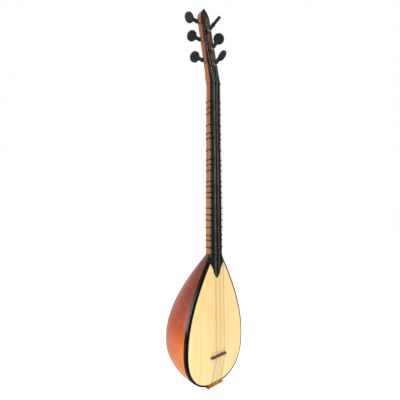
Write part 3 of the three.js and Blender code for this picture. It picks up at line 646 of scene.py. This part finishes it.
def soundboard_half(side, heights, comb_top, edge, tongue):
    """Rows of one half, from the comb or the shoulder plate out to the binding."""
    rows = []
    columns = 30
    for z in heights:
        inner = COMB_HALF_LENGTH + GLUE_GAP if z <= comb_top else float(tongue(z))
        outer = float(edge(z))
        if outer > inner:
            step = (outer - inner) / columns
            rows.append(face_row([side * (inner + step * k) for k in range(columns + 1)], z))
    return grid(rows)


def soundboard():
    inset = BINDING_WIDTH + GLUE_GAP
    edge = inset_half_width(inset)
    tongue = tongue_half_width(GLUE_GAP)
    comb_top = COMB_HEIGHT + GLUE_GAP
    lowest = outline(inset)[1][0] + 0.01
    heights = list(np.linspace(lowest, comb_top, 9))
    above_comb = np.linspace(0, 1, 200, endpoint=False) ** 1.2
    heights += list(comb_top + 0.02 + (JOINT_Z - comb_top) * above_comb)
    left, right = (soundboard_half(side, heights, comb_top, edge, tongue) for side in (-1, 1))
    verts, faces = joined(left, right)
    mesh = mesh_of("spruce_soundboard", verts, faces, weld=5e-6)
    face_towards(mesh, FORWARDS)
    piece = add_piece("spruce_soundboard", mesh, SPRUCE, "instrument", ["soundboard"])
    thicken(piece, FACE_THICKNESS)
    shade(piece.data)


def shoulder_plate():
    tongue = tongue_half_width(0)
    rows = []
    for z in np.linspace(TONGUE_TIP_Z + 0.2, JOINT_Z - GLUE_GAP, 90):
        half = min(float(tongue(z)), float(face_half_width(z)))
        rows.append(face_row(np.linspace(-half, half, 25), z))
    piece = face_sheet("black_shoulder_plate", rows, BLACK, "shoulder_plate")
    shade(piece.data)


def outline_strip(inset, samples=260):
    """Pairs of outer and inner points of a strip along the right edge, clear of the comb."""
    z = outline_heights(samples, samples)
    half = face_half_width(z)
    slope = np.gradient(half, z)
    length = np.sqrt(1 + slope * slope)
    tongue = tongue_half_width(GLUE_GAP)
    pairs = []
    for x0, z0, dx, dz in zip(half, z, inset / length, inset * slope / length):
        clear_of_comb = x0 > COMB_HALF_LENGTH + GLUE_GAP
        if clear_of_comb and float(tongue(z0)) < x0:
            pairs.append(((x0, z0), (x0 - dx, z0 + dz)))
    return pairs


def bindings():
    """The black strip between soundboard and rim, rounded a little over the edge."""
    for side, node in ((-1, "edge_binding_left"), (1, "edge_binding_right")):
        rows = []
        for (x0, z0), (x1, z1) in outline_strip(BINDING_WIDTH):
            row = []
            for k in range(7):
                share = k / 6
                x = x0 + (x1 - x0) * share
                z = z0 + (z1 - z0) * share
                ease = BINDING_EASE * (1 - min(1, share * 4)) ** 2
                row.append(leaned(side * x, ease - dome(x, z), z))
            rows.append(row)
        verts, faces = grid(rows)
        mesh = mesh_of(f"black_{node}", verts, faces)
        face_towards(mesh, FORWARDS)
        piece = add_piece(f"black_{node}", mesh, BLACK, "instrument", [node])
        thicken(piece, FACE_THICKNESS)
        shade(piece.data)


# ------------------------------------------------------------------ bowl and its rim bands


def bowl_point(side, z, behind, half, depth):
    """Point of the bowl's surface a distance behind the rim, at height z."""
    reach = max(1.0, depth - RIM_Y)
    share = min(0.999, behind / reach)
    return leaned(side * half * math.sqrt(1 - share * share), RIM_Y + reach * share, z)


def rim_bands():
    for side, node in ((-1, "rim_band_left"), (1, "rim_band_right")):
        rows = []
        for z in outline_heights(200, 160):
            half = float(face_half_width(z))
            depth = float(bowl_depth(z))
            if half > COMB_HALF_LENGTH + GLUE_GAP or z > COMB_HEIGHT:
                steps = [BAND_HEIGHT * k / 8 for k in range(9)]
                rows.append([bowl_point(side, z, behind, half, depth) for behind in steps])
        verts, faces = grid(rows)
        mesh = mesh_of(f"black_{node}", verts, faces)
        face_towards(mesh, (side, 0, 0))
        piece = add_piece(f"black_{node}", mesh, BLACK, "instrument", [node])
        thicken(piece, BAND_THICKNESS)
        shade(piece.data)


def carved_bowl():
    """The bowl as one smooth shell with the sound hole in its tail."""
    rings = []
    steps = 72
    for z in outline_heights(90, 110):
        half = float(face_half_width(z))
        reach = max(1.0, float(bowl_depth(z)) - RIM_Y)
        start = math.asin(min(0.98, (BAND_HEIGHT + GLUE_GAP) / reach))
        ring = []
        for k in range(steps + 1):
            angle = start + (math.pi - 2 * start) * k / steps
            ring.append(leaned(-half * math.cos(angle), RIM_Y + reach * INSIDE_FACETS * math.sin(angle), z))
        rings.append(ring)
    verts, faces = grid(rings)
    faces.append(tuple(range(steps + 1)))
    faces.append(tuple(range(len(verts) - steps - 1, len(verts))))
    mesh = mesh_of("carved_bowl", verts, faces, sharp_degrees=50)
    face_towards(mesh, BACKWARDS)
    piece = add_piece("carved_bowl", mesh, BOWL, "instrument", ["bowl"])
    thicken(piece, BOWL_WALL)
    cutter = sound_hole_cutter()
    cut = piece.modifiers.new("sound_hole", "BOOLEAN")
    cut.object = cutter
    cut.operation = "DIFFERENCE"
    cut.solver = "EXACT"
    bake(piece)
    bpy.data.objects.remove(cutter)
    shade(piece.data, 40)


def sound_hole_cutter():
    sides = 40
    y = SOUND_HOLE_DEPTH + FACE_LEAN * JOINT_Z
    rows = []
    for z in (-10, DEEPEST_ABOVE_TAIL):
        rows.append([
            at(SOUND_HOLE_RADIUS * math.cos(2 * math.pi * k / sides),
               y + SOUND_HOLE_RADIUS * math.sin(2 * math.pi * k / sides), z)
            for k in range(sides)
        ])
    verts, faces = capped(rows)
    cutter = bpy.data.objects.new("sound_hole_cutter", mesh_of("sound_hole_cutter", verts, faces))
    bpy.context.scene.collection.objects.link(cutter)
    bpy.context.view_layer.update()
    return cutter


# ------------------------------------------------------------------ tied frets


def neck_loop(low, high, inset, count=96):
    """Closed path round neck and fingerboard inside a fret's box, as (x, y) in metres."""
    half = (high.x - low.x) / 2 - inset
    front = low.y + inset
    back = high.y - inset
    shoulder = front + CORD_SHOULDER * MM
    corner = CORD_CORNER * MM
    points = []
    for k in range(count):
        angle = math.pi * k / (count - 1)
        across = math.cos(angle)
        behind = math.sin(angle)
        x = half * math.copysign(abs(across) ** (2 / NECK_ROUNDNESS), across)
        points.append((x, shoulder + (back - shoulder) * behind ** (2 / NECK_ROUNDNESS)))
    points.append((-half, front + corner))
    points.append((-half + corner * 0.3, front + corner * 0.3))
    points.append((-half + corner, front))
    points.extend((half * t, front) for t in (-0.5, 0, 0.5))
    points.append((half - corner, front))
    points.append((half - corner * 0.3, front + corner * 0.3))
    points.append((half, front + corner))
    return points


def cord_turns(low, high, turns, radius):
    """A closed rope of several turns side by side, as tubes round the loop."""
    loop = neck_loop(low, high, radius + 0.05 * MM)
    width = (high.z - low.z) - 2 * radius
    verts, faces = [], []
    sides = 8
    for turn in range(turns):
        z = low.z + radius + width * turn / (turns - 1)
        rows = []
        for k, (x, y) in enumerate(loop):
            x_next, y_next = loop[(k + 1) % len(loop)]
            x_last, y_last = loop[k - 1]
            away = Vector((y_next - y_last, x_last - x_next, 0)).normalized()
            centre = Vector((x, y, z))
            row = []
            for side in range(sides):
                angle = 2 * math.pi * side / sides
                offset = away * math.cos(angle) + Vector((0, 0, math.sin(angle)))
                row.append(centre + offset * radius)
            rows.append(row)
        rows.append(rows[0])
        base = len(verts)
        tube_verts, tube_faces = grid(rows, ring=True)
        verts.extend(tube_verts)
        faces.extend(tuple(v + base for v in face) for face in tube_faces)
    return verts, faces


def knot(centre, radius, seed):
    """A small pulled-tight knot: a twisted, lumpy ball."""
    maker = random.Random(seed)
    work = bmesh.new()
    bmesh.ops.create_icosphere(work, subdivisions=3, radius=radius)
    for vert in work.verts:
        spiral = math.sin(vert.co.z / radius * 5 + math.atan2(vert.co.y, vert.co.x) * 2)
        vert.co *= 1 + 0.14 * spiral + maker.uniform(-0.02, 0.02)
        vert.co.z *= 1.25
        vert.co += centre
    verts = [vert.co.copy() for vert in work.verts]
    faces = [tuple(vert.index for vert in face.verts) for face in work.faces]
    work.free()
    return verts, faces


def frets():
    for index in range(1, FRET_COUNT + 1):
        node = f"fret_{index}"
        low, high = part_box(node)
        cord = cord_turns(low, high, CORD_TURNS, CORD_RADIUS * MM)
        middle = (low.z + high.z) / 2
        knot_at = Vector((low.x - KNOT_OUT * MM, low.y + KNOT_BACK * MM, middle))
        verts, faces = joined(cord, knot(knot_at, KNOT_RADIUS * MM, index))
        mesh = mesh_of(f"tied_{node}", verts, faces, sharp_degrees=80)
        add_piece(f"tied_{node}", mesh, GUT, node, [node])


# ------------------------------------------------------------------ pegs and their windings


class PegFrame:
    """A peg's own frame, from its hinge and its CAD node: z along the peg, x square to its disc."""

    def __init__(self, name):
        joint = next(j for j in frame["joints"] if j["child"] == name)
        self.origin = Vector(joint["pos_m"])
        self.axis = Vector(joint["axis"]).normalized()
        points = [v.co - self.origin for v in frame["nodes"][name].data.vertices]
        self.top = max(point.dot(self.axis) for point in points)
        self.bottom = min(point.dot(self.axis) for point in points)
        self.reach = self.top - PEG_DISC_RADIUS * MM
        outer = [p - self.axis * p.dot(self.axis) for p in points if p.dot(self.axis) > self.reach]
        array = np.array([tuple(point) for point in outer])
        values, directions = np.linalg.eigh(array.T @ array)
        spread = sorted(zip(values, directions.T), key=lambda pair: pair[0])
        thinnest, second = Vector(spread[0][1]), Vector(spread[1][1])
        normal = second if abs(thinnest.dot(self.axis)) > 0.7 else thinnest
        self.normal = (normal - self.axis * normal.dot(self.axis)).normalized()
        self.side = self.axis.cross(self.normal)

    def place(self, across, along_normal, up):
        return self.origin + self.side * across + self.normal * along_normal + self.axis * up


def lathe(profile, sides, place):
    rows = []
    for radius, up in profile:
        rows.append([
            place(radius * math.cos(2 * math.pi * k / sides), radius * math.sin(2 * math.pi * k / sides), up)
            for k in range(sides)
        ])
    return capped(rows)


def smooth_profile(points, steps=6):
    """Catmull-Rom through (radius, height) points."""
    padded = [points[0]] + list(points) + [points[-1]]
    result = []
    for before, start, end, after in zip(padded, padded[1:], padded[2:], padded[3:]):
        for step in range(steps):
            t = step / steps
            result.append(tuple(
                0.5 * (2 * s + (e - b) * t
                       + (2 * b - 5 * s + 4 * e - a) * t * t
                       + (3 * s - b - 3 * e + a) * t ** 3)
                for b, s, e, a in zip(before, start, end, after)
            ))
    result.append(points[-1])
    return result


def turned_peg(name, winding):
    peg = PegFrame(name)
    entry, winding_end = winding_span(peg, winding)
    marks = {
        "tip": peg.bottom,
        "wood": entry,
        "winding": winding_end,
        "disc": peg.reach - PEG_DISC_RADIUS * MM,
    }
    shaft = [(radius * MM, marks[mark] + past * MM) for radius, mark, past in PEG_SHAFT]
    verts, faces = joined(lathe(smooth_profile(shaft), 32, peg.place), dished_disc(peg))
    mesh = mesh_of(f"turned_{name}", verts, faces, sharp_degrees=50)
    add_piece(f"turned_{name}", mesh, PEG, name, [name])


def dished_disc(peg):
    """The finger disc: a thick rounded rim and slightly hollow faces."""
    radius = PEG_DISC_RADIUS * MM
    half = PEG_DISC_THICKNESS / 2 * MM
    profile = [(radius * share, half * thick) for share, thick in PEG_DISC]
    back = [(r, -h) for r, h in reversed(profile[:-1])]
    whole = smooth_profile(profile + back, steps=3)

    def place(first, second, along):
        return peg.place(first, along, peg.reach + second)

    return lathe(whole, 48, place)


def winding_span(peg, node):
    """Where the winding lies along the peg: its two ends."""
    points = [(v.co - peg.origin).dot(peg.axis) for v in frame["nodes"][node].data.vertices]
    return min(points), max(points)


def wound_turns(name, node, material):
    """The turns of string on a peg: one helix of wire that wanders in and out a little."""
    peg = PegFrame(name)
    start, end = winding_span(peg, node)
    radius = WIRE_RADIUS * MM
    turns = int((end - start - 2 * radius) / (2.08 * radius))
    steps = 22
    path = []
    for k in range(turns * steps + 1):
        angle = 2 * math.pi * k / steps
        up = start + radius + (end - start - 2 * radius) * k / (turns * steps)
        wobble = 0.06 * MM * math.sin(angle * 0.37)
        reach = PEG_RADIUS * MM + radius + 0.08 * MM + abs(wobble)
        path.append(peg.place(reach * math.cos(angle), reach * math.sin(angle), up))
    verts, faces = tube(path, radius, 8)
    mesh = mesh_of(f"wound_{node}", verts, faces, sharp_degrees=80)
    add_piece(f"wound_{node}", mesh, material, name, [node])


def tube(path, radius, sides):
    """A round tube along a path of points."""
    rows = []
    up = Vector((0.3, 0.2, 1)).normalized()
    for k, point in enumerate(path):
        ahead = path[min(k + 1, len(path) - 1)]
        behind = path[max(k - 1, 0)]
        along = (ahead - behind).normalized()
        first = along.cross(up)
        if first.length < 0.1:
            first = along.cross(Vector((1, 0, 0)))
        first.normalize()
        second = along.cross(first)
        rows.append([
            point + first * radius * math.cos(2 * math.pi * s / sides)
            + second * radius * math.sin(2 * math.pi * s / sides)
            for s in range(sides)
        ])
    return capped(rows)


def pegs():
    for group in ("side", "front"):
        for number in (1, 2, 3):
            name = f"{group}_peg_{number}"
            winding = f"{group}_peg_winding_{number}"
            turned_peg(name, winding)
            wound_turns(name, winding, PLAIN_WIRE)


# ------------------------------------------------------------------ the rest of the CAD nodes


def small_wooden_parts():
    refined("neck", "shaped_neck", NECK, "instrument", 0)
    refined("headstock", "shaped_headstock", NECK, "instrument", 0.6, 40)
    refined("head_faceplate", "polished_faceplate", BURL, "instrument", 0.5, 30)
    refined("fingerboard", "polished_fingerboard", BLACK, "instrument", 0.25, 30)
    refined("nut", "polished_nut", BLACK, "instrument", 0.5)
    refined("bridge", "shaped_bridge", DARK, "instrument", 0.35, 15)
    refined("tail_comb", "notched_comb", COMB, "instrument", 0.5)


def hidden_parts_and_strings():
    for node in ("tail_block", "soundboard_brace"):
        finish_node(node, INNER)
    for index in range(1, 7):
        wound = index in WOUND_STRINGS
        finish_node(f"string_{index}", WOUND_WIRE if wound else PLAIN_WIRE)
        slim(frame["nodes"][f"string_{index}"], WOUND_SLIMMING if wound else PLAIN_SLIMMING)


def slim(piece, amount):
    """Draws a string in to its real gauge, thinner than the solid that stands for it."""
    weld = piece.modifiers.new("weld", "WELD")
    weld.merge_threshold = 0.002 * MM
    thin = piece.modifiers.new("gauge", "DISPLACE")
    thin.mid_level = 0
    thin.strength = -amount * MM


def finish_node(node, material):
    mesh = frame["nodes"][node].data
    mesh.materials.clear()
    mesh.materials.append(material)


# ------------------------------------------------------------------ studio

CAMERA_AT = Vector((-0.5218, -0.4955, 0.3752))
CAMERA_YAW = math.radians(44.32)
CAMERA_PITCH = math.radians(0.62)
CAMERA_ROLL = math.radians(-0.37)
CAMERA_LENS = 31.08
SOFT_LIGHT = 0.62
FLOOR_GLOW = 0.6  # lifts the lit paper to white where the camera sees it
FLOOR_REACH = 6
FLOOR_Z = -0.32
# Name, place, what it is aimed at, power, width and height.
LAMPS = [
    ("key", (-0.9, -1.5, 1.5), (0, 0, 0.35), 16, 1.2, 1.2),
    ("left_bank", (-1.3, 1.15, 0.45), (0, 0.05, 0.15), 16, 0.4, 0.9),
    ("front_fill", (0.9, -1.6, 0.6), (0, 0, 0.3), 7, 1.0, 1.6),
]


def camera():
    data = bpy.data.cameras.new("camera")
    data.lens = CAMERA_LENS
    data.sensor_width = 36
    data.clip_start = 0.01
    eye = bpy.data.objects.new("camera", data)
    bpy.context.scene.collection.objects.link(eye)
    ahead = Vector((
        math.sin(CAMERA_YAW) * math.cos(CAMERA_PITCH),
        math.cos(CAMERA_YAW) * math.cos(CAMERA_PITCH),
        math.sin(CAMERA_PITCH),
    ))
    right = ahead.cross(Vector((0, 0, 1))).normalized()
    up = right.cross(ahead)
    rolled_right = right * math.cos(CAMERA_ROLL) + up * math.sin(CAMERA_ROLL)
    rolled_up = up * math.cos(CAMERA_ROLL) - right * math.sin(CAMERA_ROLL)
    turn = Matrix((rolled_right, rolled_up, -ahead)).transposed()
    eye.matrix_world = Matrix.Translation(CAMERA_AT) @ turn.to_4x4()
    bpy.context.scene.camera = eye


def lamp(name, place, aim, power, width, height):
    data = bpy.data.lights.new(name, "AREA")
    data.shape = "RECTANGLE"
    data.size = width
    data.size_y = height
    data.energy = power
    light = bpy.data.objects.new(name, data)
    bpy.context.scene.collection.objects.link(light)
    direction = (Vector(aim) - Vector(place)).normalized()
    light.rotation_euler = direction.to_track_quat("-Z", "Y").to_euler()
    light.location = place


def white_where_seen(tree, plain_shader, seen_strength):
    """Mixes a shader with plain white for rays that see it directly or in a reflection."""
    rays = tree.nodes.new("ShaderNodeLightPath")
    white = tree.nodes.new("ShaderNodeBackground" if tree.nodes.get("World Output") else "ShaderNodeEmission")
    white.inputs["Color"].default_value = (1, 1, 1, 1)
    white.inputs["Strength"].default_value = seen_strength
    seen = rays.outputs["Is Camera Ray"]
    for name in ("Is Glossy Ray", "Is Transmission Ray"):
        add = tree.nodes.new("ShaderNodeMath")
        add.operation = "MAXIMUM"
        tree.links.new(seen, add.inputs[0])
        tree.links.new(rays.outputs[name], add.inputs[1])
        seen = add.outputs[0]
    mix = tree.nodes.new("ShaderNodeMixShader")
    tree.links.new(seen, mix.inputs["Fac"])
    tree.links.new(plain_shader, mix.inputs[1])
    tree.links.new(white.outputs[0], mix.inputs[2])
    return mix.outputs[0]


def surroundings():
    """Even soft light from all round, plain white where it is seen or mirrored."""
    world = bpy.data.worlds.new("studio")
    bpy.context.scene.world = world
    world.use_nodes = True
    tree = world.node_tree
    soft = tree.nodes["Background"]
    soft.inputs["Color"].default_value = (1, 1, 1, 1)
    soft.inputs["Strength"].default_value = SOFT_LIGHT
    seen_white = white_where_seen(tree, soft.outputs[0], 1.0)
    tree.links.new(seen_white, tree.nodes["World Output"].inputs[0])


def floor_paper():
    """White paper that is lifted to plain white for the camera, and keeps its shadows."""
    paper = bpy.data.materials.new("floor_paper")
    paper.use_nodes = True
    tree = paper.node_tree
    base = tree.nodes["Principled BSDF"]
    base.inputs["Base Color"].default_value = (0.92, 0.92, 0.92, 1)
    base.inputs["Roughness"].default_value = 0.9
    base.inputs["Emission Color"].default_value = (1, 1, 1, 1)
    rays = tree.nodes.new("ShaderNodeLightPath")
    glow = tree.nodes.new("ShaderNodeMath")
    glow.operation = "MULTIPLY"
    glow.inputs[1].default_value = FLOOR_GLOW
    tree.links.new(rays.outputs["Is Camera Ray"], glow.inputs[0])
    tree.links.new(glow.outputs[0], base.inputs["Emission Strength"])
    return paper


def studio_floor():
    """A wide floor, well below the instrument because it is held up by its neck."""
    corners = [(-1, -1), (1, -1), (1, 1), (-1, 1)]
    mesh = bpy.data.meshes.new("floor")
    mesh.from_pydata([(x * FLOOR_REACH, y * FLOOR_REACH, FLOOR_Z) for x, y in corners], [], [(0, 1, 2, 3)])
    mesh.materials.append(floor_paper())
    floor = bpy.data.objects.new("floor", mesh)
    bpy.context.scene.collection.objects.link(floor)


def studio():
    surroundings()
    studio_floor()
    for name, place, aim, power, width, height in LAMPS:
        lamp(name, place, aim, power, width, height)
    bpy.context.scene.view_settings.view_transform = "Standard"


soundboard()
shoulder_plate()
bindings()
rim_bands()
carved_bowl()
small_wooden_parts()
frets()
pegs()
hidden_parts_and_strings()
camera()
studio()
